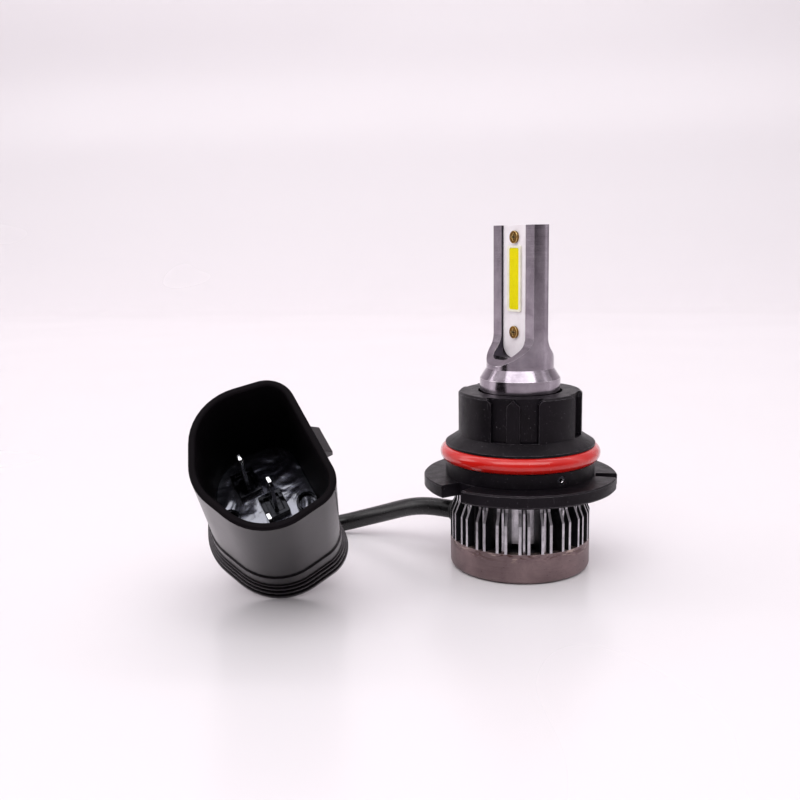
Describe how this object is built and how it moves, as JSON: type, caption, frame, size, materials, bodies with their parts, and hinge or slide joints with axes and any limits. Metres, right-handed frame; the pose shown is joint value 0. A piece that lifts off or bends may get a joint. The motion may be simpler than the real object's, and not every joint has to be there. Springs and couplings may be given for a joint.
{
  "type": "headlight bulb",
  "caption": "LED replacement headlight bulb with two-sided light column, sealed locating collar, finned fan-cooled base, short lead and D-shaped blade plug.",
  "frame": {"origin": "centre of the tail ring's bottom face, on the bulb's axis", "axes": "+Z along the bulb's axis from the fan to the light column's tip; the lead leaves towards -X; the plug lies towards -X and -Y"},
  "size_m": [0.0938, 0.082, 0.0805],
  "materials": {
    "bronze_anodised": "satin anodised, brown-grey",
    "black_plastic": "moulded, satin",
    "green_circuit": "solder mask",
    "motor_steel": "laminated",
    "copper_wire": "enamelled copper",
    "bronze_bearing": "sintered bronze",
    "ferrite": "matt ferrite",
    "bright_steel": "zinc plated",
    "black_anodised": "black anodised, machined bright edges",
    "capacitor_can": "drawn can",
    "chip_plastic": "matt",
    "polished_aluminium": "turned and polished, gunmetal tint",
    "black_wire": "wire insulation",
    "white_board": "white solder mask",
    "pale_silicone": "pale silicone",
    "yellow_phosphor": "phosphor silicone",
    "brass_screw": "machined brass",
    "collar_plastic": "glass-filled nylon, satin",
    "red_silicone": "glossy silicone",
    "black_rubber": "matt rubber",
    "cable_sheath": "matt PVC sheath",
    "plug_plastic": "moulded, satin",
    "gloss_black_plastic": "moulded, glossy",
    "tinned_blade": "tin plated"
  },
  "bodies": {
    "base": {"tail_ring": "bronze_anodised", "fan_frame": "black_plastic", "fan_circuit": "green_circuit", "stator_core": "motor_steel", "stator_windings": "copper_wire", "bearing_sleeve": "bronze_bearing", "tail_screws": "bright_steel", "heat_sink": "black_anodised", "driver_cover": "black_plastic", "driver_board": "green_circuit", "driver_inductor": "ferrite", "driver_capacitors": "capacitor_can", "driver_chips": "chip_plastic", "column_screw": "bright_steel", "lamp_column": "polished_aluminium", "led_leads": "black_wire", "led_board_front": "white_board", "led_board_rear": "white_board", "silicone_dam_front": "pale_silicone", "silicone_dam_rear": "pale_silicone", "phosphor_strip_front": "yellow_phosphor", "phosphor_strip_rear": "yellow_phosphor", "board_screws": "brass_screw", "board_nuts": "brass_screw", "cable_grommet": "black_rubber", "power_cable": "cable_sheath", "cable_strain_relief": "black_rubber", "plug_shell": "plug_plastic", "terminal_insert": "gloss_black_plastic", "blade_terminals": "tinned_blade", "plug_rear_cover": "plug_plastic"},
    "fan_rotor": {"fan_impeller": "black_plastic", "rotor_magnet": "ferrite", "fan_shaft": "bright_steel"},
    "collar": {"adapter_collar": "collar_plastic", "o_ring": "red_silicone", "collar_grub_screw": "bright_steel"}
  },
  "joints": [
    {"name": "fan_spin", "type": "hinge", "parent": "base", "child": "fan_rotor", "pos_m": [0, 0, 0.005], "axis": [0, 0, 1], "continuous": true},
    {"name": "collar_turn", "type": "hinge", "parent": "base", "child": "collar", "pos_m": [0, 0, 0.025], "axis": [0, 0, 1], "continuous": true}
  ]
}
